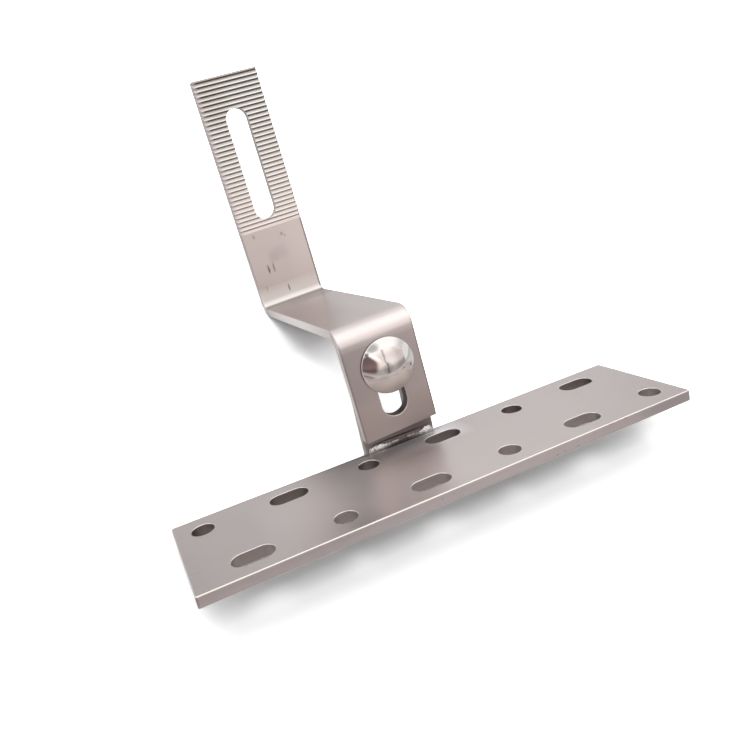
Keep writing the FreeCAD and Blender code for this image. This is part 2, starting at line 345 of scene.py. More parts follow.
shade = math_node(tree, "SUBTRACT", 1.0, math_node(tree, "MULTIPLY", dark_spot, depth))
bar_light = math_node(tree, "ADD", 1.0, math_node(tree, "MULTIPLY", bar_line, 0.7))
line_shade = math_node(tree, "SUBTRACT", 1.0, math_node(tree, "MULTIPLY", dark_line, 0.85))
total = math_node(tree, "MULTIPLY", shade, line_shade)
total = math_node(tree, "MULTIPLY", total, bar_light)
total = math_node(tree, "MULTIPLY", total, mottle)
low_share = math_node(tree, "SUBTRACT", 1.0, math_node(tree, "MULTIPLY", low_shade, 0.22))
total = math_node(tree, "MULTIPLY", total, low_share)
total = math_node(tree, "MULTIPLY", total, height_tone)
total = math_node(tree, "MULTIPLY", total, side_tone)
hue = add_node(tree, "ShaderNodeMix", data_type="RGBA")
tree.links.new(dark_spot, hue.inputs[0])
hue.inputs[6].default_value = (1.0, 0.92, 0.90, 1)
hue.inputs[7].default_value = (1.0, 0.68, 0.68, 1)
tree.links.new(hue.outputs[2], light.inputs["Color"])
tree.links.new(total, light.inputs["Strength"])

tree, place, light = card(
    "pale_back_screen", (0.25, 0.60, 0.62), 1.9, 0.64, (math.radians(90), 0, 0)
)
back_tone = ramp(tree, place["X"], [(-0.15, 0.50), (0.25, 0.99), (0.45, 0.97), (0.75, 0.67)])
tree.links.new(back_tone, light.inputs["Color"])

# %% [markdown]
# ## Effects that several metals share
# Three small node groups. The first is the fine grain of rolled and tumbled sheet. The second
# turns a place on the arm back to the arm's own straight sides, because the arm leans about
# three degrees. The third is a soft stroke, used for scratches, rub marks and painted light
# and shade.

# %% Node group: sheet grain
def new_group(name, inputs, outputs):
    """An empty shader node group with float or vector sockets."""
    group = bpy.data.node_groups.new(name, "ShaderNodeTree")
    for title, kind, value in inputs:
        socket = group.interface.new_socket(title, in_out="INPUT", socket_type=kind)
        if value is not None:
            socket.default_value = value
    for title, kind in outputs:
        group.interface.new_socket(title, in_out="OUTPUT", socket_type=kind)
    return group, group.nodes.new("NodeGroupInput"), group.nodes.new("NodeGroupOutput")


FLOAT = "NodeSocketFloat"
VECTOR = "NodeSocketVector"

grain_group, given, result = new_group(
    "sheet_grain",
    [("Place", VECTOR, None), ("Grains per metre", FLOAT, 2500.0), ("Cloud size", FLOAT, 60.0)],
    [("Grain", FLOAT), ("Cloud", FLOAT)],
)
fine = add_node(grain_group, "ShaderNodeTexNoise", Detail=3.0, Roughness=0.6)
grain_group.links.new(given.outputs["Place"], fine.inputs["Vector"])
grain_group.links.new(given.outputs["Grains per metre"], fine.inputs["Scale"])
cloud = add_node(grain_group, "ShaderNodeTexNoise", Detail=4.0, Roughness=0.55)
grain_group.links.new(given.outputs["Place"], cloud.inputs["Vector"])
grain_group.links.new(given.outputs["Cloud size"], cloud.inputs["Scale"])
grain_group.links.new(fine.outputs["Fac"], result.inputs["Grain"])
grain_group.links.new(cloud.outputs["Fac"], result.inputs["Cloud"])

# %% Node group: the arm's own sides
arm_turn = math.radians(3.1)
tab_middle = -2.75
arm_middle = -3.9
clamp_height = 35.7
bolt_x = tab_middle * MM
bolt_z = clamp_height * MM
inner_corner_z = 51.34 * MM

arm_place_group, given, result = new_group(
    "arm_place", [("Place", VECTOR, None)], [("Place", VECTOR)]
)
straighten = add_node(arm_place_group, "ShaderNodeMapping")
straighten.inputs["Rotation"].default_value = (0, arm_turn, 0)
turned_x = math.cos(arm_turn) * bolt_x + math.sin(arm_turn) * bolt_z
turned_z = -math.sin(arm_turn) * bolt_x + math.cos(arm_turn) * bolt_z
straighten.inputs["Location"].default_value = (
    -turned_x + 1.15 * MM, 0, -turned_z + bolt_z - inner_corner_z
)
arm_place_group.links.new(given.outputs["Place"], straighten.inputs["Vector"])
arm_place_group.links.new(straighten.outputs["Vector"], result.inputs["Place"])

# %% Node group: a soft stroke
stroke_group, given, result = new_group(
    "soft_stroke",
    [
        ("Across", FLOAT, 0.0), ("Along", FLOAT, 0.0), ("Middle across", FLOAT, 0.0),
        ("Middle along", FLOAT, 0.0), ("Half width", FLOAT, 0.001), ("Half length", FLOAT, 0.003),
    ],
    [("Mask", FLOAT)],
)
parts = []
for axis, middle, half in (
    ("Across", "Middle across", "Half width"), ("Along", "Middle along", "Half length")
):
    away = math_node(stroke_group, "SUBTRACT", given.outputs[axis], given.outputs[middle])
    away = math_node(stroke_group, "ABSOLUTE", away)
    share = math_node(stroke_group, "DIVIDE", away, given.outputs[half])
    square = math_node(stroke_group, "POWER", share, 2.0)
    parts.append(math_node(stroke_group, "SUBTRACT", 1.0, square, clamp=True))
mask = math_node(stroke_group, "MULTIPLY", parts[0], parts[1])
stroke_group.links.new(mask, result.inputs["Mask"])
print("shared effects:", [group.name for group in bpy.data.node_groups])

# %% [markdown]
# ## Satin stainless sheet
# The plate, the tab, the arm and the small fasteners are the same steel. It is a warm grey
# metal, rough enough that reflections are wide and soft. The grain works on the roughness and
# on a very low bump, and slow clouds shift the tone a little, as on sheet that was rolled and
# then tumbled to take off its burrs.

# %% A helper for metals
def metal(name, colour, rough, spread, tone, bump_height, grains=2500.0):
    """A metal with grain; gives the material, its tree, shader, colour and place sockets."""
    material = bpy.data.materials.new(name)
    material.use_nodes = True
    tree = material.node_tree
    shader = tree.nodes["Principled BSDF"]
    shader.inputs["Metallic"].default_value = 1.0
    where = add_node(tree, "ShaderNodeTexCoord").outputs["Object"]
    grain = add_node(tree, "ShaderNodeGroup", node_tree=grain_group)
    grain.inputs["Grains per metre"].default_value = grains
    tree.links.new(where, grain.inputs["Place"])
    mix = math_node(tree, "MULTIPLY_ADD", grain.outputs["Grain"], 0.5)
    mix.node.inputs[2].default_value = 0.0
    tree.links.new(math_node(tree, "MULTIPLY", grain.outputs["Cloud"], 0.5), mix.node.inputs[2])
    roughness = add_node(tree, "ShaderNodeMapRange")
    roughness.inputs["From Min"].default_value = 0.3
    roughness.inputs["From Max"].default_value = 0.7
    roughness.inputs["To Min"].default_value = rough - spread
    roughness.inputs["To Max"].default_value = rough + spread
    tree.links.new(mix, roughness.inputs["Value"])
    tree.links.new(roughness.outputs["Result"], shader.inputs["Roughness"])
    shade = add_node(tree, "ShaderNodeMapRange")
    shade.inputs["From Min"].default_value = 0.3
    shade.inputs["From Max"].default_value = 0.7
    shade.inputs["To Min"].default_value = 1.0 - tone
    shade.inputs["To Max"].default_value = 1.0 + tone
    tree.links.new(mix, shade.inputs["Value"])
    tint = add_node(tree, "ShaderNodeVectorMath", operation="SCALE")
    tint.inputs[0].default_value = colour
    tree.links.new(shade.outputs["Result"], tint.inputs["Scale"])
    tree.links.new(tint.outputs["Vector"], shader.inputs["Base Color"])
    bump = add_node(tree, "ShaderNodeBump")
    bump.inputs["Strength"].default_value = 1.0
    bump.inputs["Distance"].default_value = bump_height
    tree.links.new(grain.outputs["Grain"], bump.inputs["Height"])
    tree.links.new(bump.outputs["Normal"], shader.inputs["Normal"])
    return material, tree, shader, tint.outputs["Vector"], where


STEEL = (0.56, 0.503, 0.490)
PLATE_STEEL = (0.582, 0.524, 0.511)
plate_metal, *plate_parts = metal("satin_plate", PLATE_STEEL, 0.31, 0.05, 0.03, 0.004 * MM)
tab_metal, *tab_parts = metal("satin_tab", STEEL, 0.33, 0.05, 0.03, 0.004 * MM)
arm_metal, *arm_parts = metal("satin_arm", STEEL, 0.31, 0.05, 0.03, 0.004 * MM)
small_metal, *_ = metal("satin_small_parts", STEEL, 0.26, 0.04, 0.02, 0.003 * MM)
# Edge breaks and slot rims: a brighter steel, partly burnish and partly painted highlight.
burnish_and_highlight, *_ = metal("burnish_and_highlight_edge", (0.84, 0.80, 0.77), 0.25, 0.04, 0.03, 0.002 * MM)
# The teeth's gentle sides: a lighter copy of the steel, painted light.
gentle_tooth_side_painted_light, *face_parts = metal("gentle_tooth_side_painted_light", (0.76, 0.70, 0.67), 0.30, 0.05, 0.05, 0.004 * MM)
punched_metal, *punched_parts = metal(
    "punched_wall", (0.28, 0.24, 0.23), 0.48, 0.06, 0.10, 0.02 * MM, grains=1500.0
)
# The head's rim: near black, painted shade where the head sits on the leg.
head_rim_shade_metal, *_ = metal("head_rim_painted_shade", (0.16, 0.135, 0.13), 0.40, 0.05, 0.05, 0.01 * MM)
polished, *head_parts = metal("polished_head", (0.74, 0.70, 0.68), 0.11, 0.02, 0.01, 0.001 * MM)
# The teeth's steep sides: a darker copy of the steel, painted shade.
steep_tooth_side_painted_shade, *tooth_parts = metal("steep_tooth_side_shade_metal", (0.42, 0.36, 0.33), 0.38, 0.06, 0.12, 0.01 * MM)
bead_metal, *bead_parts = metal(
    "weld_metal", (0.60, 0.59, 0.58), 0.27, 0.08, 0.16, 0.12 * MM, grains=900.0
)

# %% [markdown]
# ## Marks of making and handling, and painted light and shade
# Real sheet is never even. The weld has an undercut beside it, drawn as a dark line of painted
# shade and soot, the upright carries short dark scratches, small spots and a smudge, and the plate
# has two fine scratches and small nicks on its front edge. Thin dark strokes of painted shade
# follow some outer edges.
#
# Other strokes are painted light and shade: painted highlights along bends and edges, and lighter
# or darker tones on a face where the photograph has it lighter or darker, which stand in for
# reflections that the cards don't give. They stay in place when the hook is seen from another
# side. Each stroke is mixed into the metal's colour and into its roughness.

# %% A helper that adds marks and painted light and shade to a metal
def add_marks_and_painted_light(parts, place, marks, rougher_by=0.12):
    """Marks and painted light and shade: two axes, two middles and half sizes in mm, colour,
    share, range of Y or None.
    """
    tree, shader, _, _ = parts
    colour = shader.inputs["Base Color"].links[0].from_socket
    spread = add_node(tree, "ShaderNodeSeparateXYZ")
    tree.links.new(place, spread.inputs[0])
    darkest = None
    for across, along, middle_a, middle_b, half_a, half_b, tone, share, y_range in marks:
        stroke = add_node(tree, "ShaderNodeGroup", node_tree=stroke_group)
        tree.links.new(spread.outputs[across], stroke.inputs["Across"])
        tree.links.new(spread.outputs[along], stroke.inputs["Along"])
        for title, size in (
            ("Middle across", middle_a), ("Middle along", middle_b),
            ("Half width", half_a), ("Half length", half_b),
        ):
            stroke.inputs[title].default_value = size * MM
        mask = math_node(tree, "MULTIPLY", stroke.outputs["Mask"], share)
        if y_range is not None:
            beyond = math_node(tree, "GREATER_THAN", spread.outputs["Y"], y_range[0] * MM)
            near = math_node(tree, "LESS_THAN", spread.outputs["Y"], y_range[1] * MM)
            mask = math_node(tree, "MULTIPLY", math_node(tree, "MULTIPLY", mask, beyond), near)
        mix = add_node(tree, "ShaderNodeMix", data_type="RGBA")
        tree.links.new(mask, mix.inputs[0])
        tree.links.new(colour, mix.inputs[6])
        mix.inputs[7].default_value = (*tone, 1)
        colour = mix.outputs[2]
        darkest = mask if darkest is None else math_node(tree, "MAXIMUM", darkest, mask)
    tree.links.new(colour, shader.inputs["Base Color"])
    rough = shader.inputs["Roughness"].links[0].from_socket
    rougher = math_node(tree, "ADD", rough, math_node(tree, "MULTIPLY", darkest, rougher_by))
    tree.links.new(rougher, shader.inputs["Roughness"])
    print("marks:", len(marks))


# %% The marks and the painted light and shade on the plate, the tab and the arm
# Near black for soot dots, and for painted shade in the weld's undercut.
SOOT_AND_SHADE = (0.05, 0.035, 0.03)
BROWN = (0.20, 0.15, 0.13)
# Dark brown for a scratch, and for thin strokes of painted shade along edges.
DARK_MARK_AND_SHADE = (0.13, 0.10, 0.09)
plate_front = (-25.0, -23.9)
plate_marks_and_painted_light = [
    # Painted light on the plate's top and front face, painted shade at the front face's right end.
    ("Y", "X", 1.0, -28.0, 25.0, 40.0, (0.72, 0.66, 0.65), 0.75, None),
    ("X", "Z", 5.0, 2.0, 90.0, 8.0, (0.66, 0.60, 0.59), 0.70, plate_front),
    ("X", "Z", 83.0, 2.0, 15.0, 6.0, (0.44, 0.40, 0.39), 0.75, plate_front),
    # Painted shade with soot at the weld's toe, painted shade along the back and left edges.
    ("Y", "X", 22.6, tab_middle - 1.5, 1.1, 20.0, SOOT_AND_SHADE, 0.92, None),
    ("Y", "X", 24.6, 0.0, 0.6, 200.0, DARK_MARK_AND_SHADE, 0.55, None),
    ("X", "Y", -92.0, 0.0, 0.6, 60.0, DARK_MARK_AND_SHADE, 0.35, None),
    # Real marks from here on: fine scratches, nicks and soot dots.
    ("Y", "X", -11.5, -89.0, 0.16, 1.7, (0.30, 0.25, 0.23), 0.6, None),
    ("Y", "X", 6.3, 66.6, 0.35, 2.4, (0.40, 0.37, 0.36), 0.35, None),
    ("X", "Z", 56.0, 3.75, 1.2, 0.5, BROWN, 0.8, plate_front),
    ("X", "Z", 59.0, 3.75, 0.7, 0.45, BROWN, 0.8, plate_front),
    ("X", "Z", 62.2, 3.6, 1.0, 0.5, BROWN, 0.8, plate_front),
    ("X", "Z", 32.6, 0.7, 0.32, 0.26, SOOT_AND_SHADE, 0.8, plate_front),
    ("X", "Z", 35.9, 0.9, 0.28, 0.24, SOOT_AND_SHADE, 0.8, plate_front),
    ("X", "Z", 41.3, 0.7, 0.32, 0.26, SOOT_AND_SHADE, 0.8, plate_front),
    ("X", "Z", -11.9, 2.2, 0.25, 0.22, SOOT_AND_SHADE, 0.7, plate_front),
]
# Painted light: a pale bluish patch beside the weld, over the plate's reflection of the tab.
add_marks_and_painted_light(plate_parts, plate_parts[3], [
    ("Y", "X", 17.5, tab_middle + 3.5, 9.0, 22.0, (0.92, 0.94, 0.98), 0.85, None),
])
add_marks_and_painted_light(plate_parts, plate_parts[3], plate_marks_and_painted_light)
# Painted shade with some heat tint on the tab's face under the leg, and a near-black painted
# shadow along the bead's top.
add_marks_and_painted_light(tab_parts, tab_parts[3], [
    ("Z", "X", 7.5, tab_middle, 5.5, 30.0, (0.13, 0.108, 0.10), 0.95, (24.0, 26.0)),
    ("Z", "X", 6.3, tab_middle, 0.5, 14.5, (0.02, 0.015, 0.015), 0.95, (24.0, 26.0)),
])
# Painted shade on the bead's thin middle, and painted shade with soot in the undercut at its foot.
add_marks_and_painted_light(bead_parts, bead_parts[3], [
    ("X", "Z", -1.4, 4.6, 8.4, 6.0, (0.27, 0.245, 0.235), 0.97, None),
    ("Z", "X", 4.0, -2.0, 0.8, 10.0, SOOT_AND_SHADE, 0.95, None),
])
arm_place = add_node(arm_parts[0], "ShaderNodeGroup", node_tree=arm_place_group)
arm_parts[0].links.new(arm_parts[3], arm_place.inputs[0])
front_of_upright = (117.3, 118.4)
front_of_leg = (20.0, 20.8)
# Painted highlight: a bright band at the foot of the upright, along the inner bend.
add_marks_and_painted_light(arm_parts, arm_place.outputs[0], [
    ("Z", "X", 3.2, 0.0, 6.0, 90.0, (1.0, 0.99, 0.96), 1.0, (116.2, 119.0)),
], rougher_by=0.36)
add_marks_and_painted_light(arm_parts, arm_place.outputs[0], [
    # Painted shade on the reach's far end and at the inner bend, painted light on the upright's
    # face, and painted shade on the leg's left part.
    ("Y", "X", 107.0, 4.0, 9.5, 30.0, (0.40, 0.36, 0.345), 0.75, (97.5, 116.0)),
    ("Y", "Z", 113.2, 0.0, 3.7, 3.2, (0.30, 0.27, 0.26), 0.85, None),
    ("Y", "Z", 117.7, 20.0, 1.5, 32.0, (0.70, 0.64, 0.61), 0.50, None),
    ("X", "Z", 15.0, 14.0, 13.0, 27.0, (0.80, 0.72, 0.71), 0.38, front_of_upright),
    ("X", "Z", -11.0, -9.0, 7.0, 13.0, (0.46, 0.41, 0.40), 0.50, front_of_leg),
    # Painted highlights on the leg's foot and the front bend, painted shade on the leg's lower
    # part and on the upright's side.
    ("Z", "Y", -42.6, 22.5, 0.5, 6.0, (0.90, 0.88, 0.87), 0.90, (20.9, 24.6)),
    ("Y", "Z", 19.5, 2.5, 4.0, 9.0, (0.96, 0.92, 0.89), 0.90, None),
    ("Z", "Y", -45.0, 20.5, 17.0, 4.0, (0.33, 0.295, 0.28), 0.80, None),
    ("Y", "Z", 119.9, 75.0, 2.2, 62.0, (0.36, 0.33, 0.32), 0.60, None),
    # Painted shade on the upright's back edge and in the rail slot, a painted highlight on its top
    # edge, painted shade on the reach's top, and painted highlights on the front bend and the
    # reach's left edge.
    ("Y", "Z", 121.9, 60.0, 1.0, 46.0, DARK_MARK_AND_SHADE, 0.80, None),
    ("X", "Z", 0.0, 78.0, 6.4, 42.0, (0.11, 0.105, 0.10), 0.85, (119.2, 121.5)),
    ("Z", "X", 104.3, 0.0, 0.8, 40.0, (0.95, 0.93, 0.90), 0.90, None),
    ("X", "Y", -13.0, 85.0, 19.0, 62.0, (0.37, 0.335, 0.325), 0.52, (24.0, 116.0)),
    ("Y", "Z", 22.4, -24.0, 1.9, 27.0, (0.90, 0.86, 0.83), 0.85, None),
    ("X", "Y", -15.1, 68.0, 0.5, 58.0, (0.98, 0.93, 0.90), 0.95, (25.0, 117.0)),
    # Thin strokes of painted shade along the outer edges.
    ("X", "Z", 14.7, 32.0, 0.8, 90.0, DARK_MARK_AND_SHADE, 0.75, front_of_upright),
    ("X", "Z", 14.8, -22.0, 0.6, 30.0, DARK_MARK_AND_SHADE, 0.70, front_of_leg),
    ("X", "Z", -14.8, -22.0, 0.45, 30.0, DARK_MARK_AND_SHADE, 0.50, front_of_leg),
    ("X", "Y", 14.8, 70.0, 0.6, 58.0, DARK_MARK_AND_SHADE, 0.70, (22.0, 117.0)),
    # Real marks from here on: scratches, spots and smudges.
    ("X", "Z", -7.35, 16.8, 0.60, 2.5, BROWN, 0.90, front_of_upright),
    ("X", "Z", -7.20, 16.2, 0.45, 1.2, DARK_MARK_AND_SHADE, 0.70, front_of_upright),
    ("X", "Z", -4.75, 16.9, 0.55, 2.7, BROWN, 0.78, front_of_upright),
    ("X", "Z", -0.4, 22.6, 5.6, 4.0, (0.42, 0.39, 0.42), 0.30, front_of_upright),
    ("X", "Z", -3.6, 21.4, 3.0, 3.0, (0.44, 0.39, 0.36), 0.30, front_of_upright),
    ("X", "Z", 3.6, 30.7, 0.9, 1.0, (0.26, 0.19, 0.17), 0.6, front_of_upright),
    ("X", "Z", 4.9, 29.6, 0.6, 0.6, (0.26, 0.19, 0.17), 0.5, front_of_upright),
    ("X", "Z", -9.6, 33.0, 0.8, 1.2, (0.30, 0.24, 0.22), 0.6, front_of_upright),
    ("X", "Z", -0.6, 5.7, 0.50, 2.0, BROWN, 0.75, front_of_upright),
    ("X", "Z", -11.0, 8.5, 0.50, 1.6, (0.36, 0.29, 0.27), 0.5, front_of_upright),
    ("X", "Y", -3.0, 109.0, 1.6, 2.2, (0.30, 0.26, 0.25), 0.45, (24.0, 116.0)),
    ("X", "Y", 0.6, 101.0, 1.2, 2.6, (0.30, 0.26, 0.25), 0.40, (24.0, 116.0)),
])

# %% [markdown]
# In the photograph the teeth are bright on their gentle sides and dark on their steep ones, and
# they fade at the left margin. Here that is painted light on the gentle sides and painted shade on
# the steep ones, both toned towards each other at the left margin. A repeating painted shade,
# counted down from the top tooth, darkens each gentle side towards its crest. The hole walls get
# painted light and shade, and the head's lower part a painted reflection.

# %% Painted light and shade on the teeth, the hole walls and the bolt's head
tooth_place = add_node(tooth_parts[0], "ShaderNodeGroup", node_tree=arm_place_group)
tooth_parts[0].links.new(tooth_parts[3], tooth_place.inputs[0])
add_marks_and_painted_light(tooth_parts, tooth_place.outputs[0], [
    # Painted shade over the steep sides, lifted at the left margin, and a dark painted edge
    # stroke.
    ("Z", "X", 110.0, 0.0, 62.0, 60.0, (0.085, 0.078, 0.074), 0.95, None),
    ("X", "Z", -15.2, 80.0, 2.4, 90.0, (0.90, 0.84, 0.85), 1.0, None),
    ("X", "Z", 15.1, 60.0, 0.6, 60.0, (0.25, 0.24, 0.23), 0.60, None),
])
face_place = add_node(face_parts[0], "ShaderNodeGroup", node_tree=arm_place_group)
face_parts[0].links.new(face_parts[3], face_place.inputs[0])
add_marks_and_painted_light(face_parts, face_place.outputs[0], [
    # Painted light over the gentle sides, a warm darker patch, a darker left margin and a dark
    # painted edge stroke.
    ("Z", "X", 112.0, 0.0, 75.0, 60.0, (0.82, 0.82, 0.775), 0.95, None),
    ("X", "Z", -9.0, 92.0, 8.0, 12.0, (0.50, 0.42, 0.34), 0.35, None),
    ("X", "Z", -15.2, 80.0, 2.4, 90.0, (0.60, 0.55, 0.555), 1.0, None),
    ("X", "Z", 15.1, 60.0, 0.6, 60.0, (0.25, 0.24, 0.23), 0.60, None),
])
# A repeating painted shade that darkens each gentle side towards its crest.
tooth_pitch = 1.99
first_tooth = 103.92 - 0.75
tree, shader, _, _ = face_parts
colour = shader.inputs["Base Color"].links[0].from_socket
spread = add_node(tree, "ShaderNodeSeparateXYZ")
tree.links.new(face_place.outputs[0], spread.inputs[0])
drop = math_node(tree, "SUBTRACT", first_tooth * MM, spread.outputs["Z"])
phase = math_node(tree, "FRACT", math_node(tree, "DIVIDE", drop, tooth_pitch * MM))
crest_shade_mask = math_node(tree, "MULTIPLY", math_node(tree, "SUBTRACT", phase, 0.50), 2.2, clamp=True)
mix = add_node(tree, "ShaderNodeMix", data_type="RGBA")
tree.links.new(math_node(tree, "MULTIPLY", crest_shade_mask, 0.62), mix.inputs[0])
tree.links.new(colour, mix.inputs[6])
mix.inputs[7].default_value = (0.45, 0.395, 0.355, 1)
tree.links.new(mix.outputs[2], shader.inputs["Base Color"])
# Painted light on the walls of the plate's front row of holes, painted shade in the leg's slot.
add_marks_and_painted_light(punched_parts, punched_parts[3], [
    ("Y", "X", -14.7, 0.0, 8.0, 160.0, (0.47, 0.41, 0.39), 0.90, None),
    ("Z", "X", 20.0, -4.0, 22.0, 12.0, (0.12, 0.105, 0.10), 0.95, (20.0, 25.5)),
])
# Painted reflection: the head's lower part warmer and darker, and rougher.
bolt_foot = clamp_height - 11.0
add_marks_and_painted_light(head_parts, head_parts[3], [
    ("Z", "X", bolt_foot, tab_middle, 9.2, 60.0, (0.61, 0.54, 0.49), 0.90, None),
], rougher_by=0.55)

# %% [markdown]
# ## Bringing the exact solids to life
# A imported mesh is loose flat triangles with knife-sharp shading. A copy of each is welded into
# one skin, its flat faces are joined up again, and its normals are weighted by face size. The
# narrow edge breaks then shade like rounded edges while the big faces stay flat, and the shape
# doesn't move at all.

# %% A helper that makes a finished copy
def finished_copy(node, name, body, metal_used, sharp_deg=50.0):
    """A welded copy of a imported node, with rounded shading on its small edges."""
    select_only(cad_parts[node])
    bpy.ops.object.duplicate()
    piece = bpy.context.active_object
    piece.name = name
    for key in list(piece.keys()):
        del piece[key]
    select_only(piece)
    bpy.ops.mesh.customdata_custom_splitnormals_clear()
    bpy.ops.object.mode_set(mode="EDIT")
    bpy.ops.mesh.select_all(action="SELECT")
    bpy.ops.mesh.remove_doubles(threshold=0.002 * MM)
    bpy.ops.mesh.dissolve_limited(angle_limit=math.radians(0.3))
    bpy.ops.object.mode_set(mode="OBJECT")
    bpy.ops.object.shade_smooth_by_angle(angle=math.radians(sharp_deg))
    weighted = piece.modifiers.new("even_shading", "WEIGHTED_NORMAL")
    weighted.keep_sharp = True
    bpy.ops.object.modifier_apply(modifier=weighted.name)
    piece.data.materials.clear()
    piece.data.materials.append(metal_used)
    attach(piece, body)
    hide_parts(node)
    print(name, "has", len(piece.data.polygons), "faces")
    return piece


# %% The plate, the tab, the arm, the washers and the nut
plate_piece = finished_copy("base_plate", "plate_body", "base", plate_metal)
finished_copy("clamp_tab", "tab_body", "base", tab_metal)
arm_piece = finished_copy("hook_arm", "arm_body", "arm", arm_metal, sharp_deg=46.0)
finished_copy("flat_washer", "washer_body", "base", small_metal)
finished_copy("spring_washer", "spring_washer_body", "base", small_metal)
finished_copy("hex_nut", "nut_body", "base", small_metal, sharp_deg=25.0)

# %% [markdown]
# ## Punched walls
# A punch cuts the first part of a hole and tears the rest, so the wall inside is darker and
# rougher than the sheet. Those faces stand upright inside the plate, so they are found by their
# normal and their place and get a second metal. The teeth's two sides and the broken edges are
# found in the same way: the gentle sides get painted light, the steep ones painted shade, and the
# broken edges a brighter metal that is partly burnish and partly painted highlight.

# %% Give the hole walls their own metal
def second_metal(piece, metal_used, test):
    """Assign a second metal to the faces that pass a test on centre and normal."""
    piece.data.materials.append(metal_used)
    count = 0
    for face in piece.data.polygons:
        if test(face.center / MM, face.normal):
            face.material_index = len(piece.data.materials) - 1
            count += 1
    print(piece.name, "faces with the second metal:", count)


def in_plate_hole(centre, normal):
    return abs(normal.z) < 0.1 and abs(centre.x) < 91.0 and abs(centre.y) < 23.5


def from_arm_middle(centre):
    """Distance in mm from the leaning arm's middle line, along X."""
    return centre.x - arm_middle + (centre.z - clamp_height) * math.tan(arm_turn)


def in_arm_slot(centre, normal):
    near_slot = abs(from_arm_middle(centre)) < 6.0
    return abs(normal.y) < 0.1 and near_slot and centre.y < 25.0 and centre.z > 14.0


def in_toothed_face(centre):
    return 117.6 < centre.y < 118.7 and centre.z > 86.0


def under_a_tooth(centre, normal):
    return normal.z < -0.25 and in_toothed_face(centre)


def on_a_tooth(centre, normal):
    return normal.z > 0.25 and in_toothed_face(centre)


def on_an_edge_break(centre, normal):
    return 0.3 < normal.z < 0.95


def on_the_slot_rim(centre, normal):
    near_slot = abs(from_arm_middle(centre)) < 6.2
    return -0.95 < normal.y < -0.3 and near_slot and centre.y < 21.0 and centre.z < 40.0


second_metal(plate_piece, punched_metal, in_plate_hole)
second_metal(arm_piece, punched_metal, in_arm_slot)
# The steep tooth sides get painted shade.
second_metal(arm_piece, steep_tooth_side_painted_shade, under_a_tooth)
# The gentle tooth sides get painted light.
second_metal(arm_piece, gentle_tooth_side_painted_light, on_a_tooth)
# The edge breaks and the slot's rim get a brighter metal: partly burnish, partly painted
# highlight.
second_metal(plate_piece, burnish_and_highlight, on_an_edge_break)
second_metal(arm_piece, burnish_and_highlight, on_the_slot_rim)

# %% [markdown]
# ## The carriage bolt
# A carriage bolt is cold-headed: a low polished dome, a thin rim, a square neck that sits in
# the slot, and a rolled thread. The dome is a cap cut off a ball. The rim is extruded from its
# edge and rounded. The neck is a softened cube.

# %% Helpers for modelling in edit mode
def select_parts(piece, kind, test):
    """Edit mode with only the vertices, edges or faces selected that pass a test."""
    bpy.ops.object.mode_set(mode="EDIT")
    bpy.ops.mesh.select_mode(type=kind)
    bpy.ops.mesh.select_all(action="DESELECT")
    bpy.ops.object.mode_set(mode="OBJECT")
    mesh = piece.data
    corners = mesh.vertices
    if kind == "VERT":
        for vertex in corners:
            vertex.select = test(vertex.co / MM)
    elif kind == "EDGE":
        for edge in mesh.edges:
            edge.select = all(test(corners[i].co / MM) for i in edge.vertices)
    else:
        for face in mesh.polygons:
            face.select = test(face.center / MM)
    bpy.ops.object.mode_set(mode="EDIT")


def start_piece(name):
    """Name the new primitive and put its place and size into its mesh."""
    piece = bpy.context.active_object
    piece.name = name
    select_only(piece)
    bpy.ops.object.transform_apply(location=True, rotation=True, scale=True)
    return piece


# %% The domed head
bolt_axis = Vector((bolt_x, 0, bolt_z))
head_radius = 10.6 * MM
head_height = 4.9 * MM
rim_height = 0.7 * MM
arm_front = 20.5 * MM
rise = head_height - rim_height
dome_radius = (head_radius ** 2 + rise ** 2) / (2 * rise)
bpy.ops.object.select_all(action="DESELECT")
bpy.ops.mesh.primitive_uv_sphere_add(
    segments=96, ring_count=90, radius=dome_radius,
    location=bolt_axis + Vector((0, arm_front - head_height + dome_radius, 0)),
    rotation=(math.radians(90), 0, 0),
)
bolt_piece = start_piece("bolt_body")
bpy.ops.object.mode_set(mode="EDIT")
bpy.ops.mesh.select_all(action="SELECT")
bpy.ops.mesh.bisect(
    plane_co=(0, arm_front - rim_height, 0), plane_no=(0, 1, 0), clear_outer=True
)
bpy.ops.mesh.select_mode(type="EDGE")
bpy.ops.mesh.select_all(action="DESELECT")
bpy.ops.mesh.select_non_manifold()
bpy.ops.mesh.extrude_edges_move(
    TRANSFORM_OT_translate={"value": (0, rim_height - 0.02 * MM, 0)}
)
bpy.ops.mesh.edge_face_add()
rim_y = (arm_front - rim_height) / MM
select_parts(bolt_piece, "EDGE", lambda co: abs(co.y - rim_y) < 0.01)
bpy.ops.mesh.bevel(offset=0.28 * MM, segments=4, profile=0.5)
bpy.ops.object.mode_set(mode="OBJECT")
bpy.ops.object.shade_smooth_by_angle(angle=math.radians(50))
print("head faces:", len(bolt_piece.data.polygons))

# %% The square neck
neck_side = 8.0 * MM
neck_length = 3.8 * MM
bpy.ops.object.select_all(action="DESELECT")
bpy.ops.mesh.primitive_cube_add(
    size=1.0, location=bolt_axis + Vector((0, arm_front + neck_length / 2 - 0.05 * MM, 0)),
    rotation=(0, -arm_turn, 0),
)
bpy.context.active_object.scale = (neck_side, neck_length, neck_side)
neck_piece = start_piece("bolt_neck")
bpy.ops.object.mode_set(mode="EDIT")
bpy.ops.mesh.select_all(action="SELECT")
bpy.ops.mesh.bevel(offset=0.35 * MM, segments=3, affect="EDGES")
bpy.ops.object.mode_set(mode="OBJECT")
bpy.ops.object.shade_smooth_by_angle(angle=math.radians(40))

